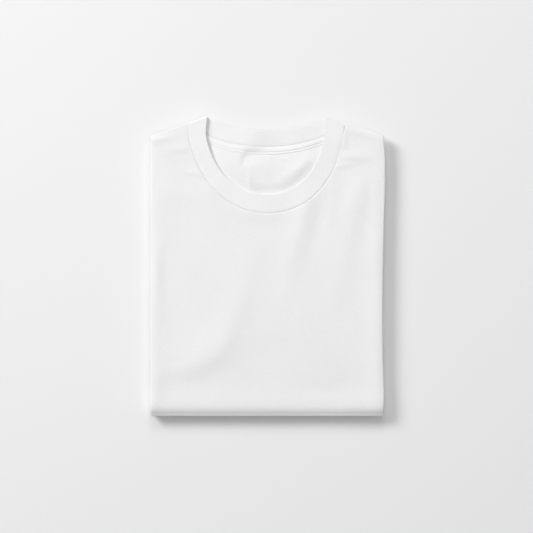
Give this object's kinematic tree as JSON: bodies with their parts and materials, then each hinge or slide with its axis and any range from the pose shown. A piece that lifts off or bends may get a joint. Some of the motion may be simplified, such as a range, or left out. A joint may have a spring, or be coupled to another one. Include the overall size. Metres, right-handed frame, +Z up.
{
  "type": "folded t-shirt",
  "caption": "Crew-neck jersey t-shirt folded into a flat rectangle, neckband and chest facing up, for a shelf, drawer or shop table.",
  "frame": {"origin": "centre of the bounding box at the underside, where the folded shirt rests on a surface", "axes": "+X across the chest to the right as seen from above, +Y toward the neck, +Z up from the surface"},
  "size_m": [0.2773, 0.3535, 0.0183],
  "materials": {
    "jersey_face": "white cotton single jersey, matt with a faint nap",
    "jersey_inside": "white cotton single jersey, inner face, matt",
    "rib": "white one-by-one rib knit, matt",
    "tape": "white cotton tape, fine twill, matt",
    "jersey_layers": "white cotton single jersey, cut and folded edges, matt"
  },
  "bodies": {
    "root": {"front_panel": "jersey_face", "back_panel": "jersey_inside", "neck_rib": "rib", "neck_tape": "tape", "folded_layers": "jersey_layers"}
  },
  "joints": []
}
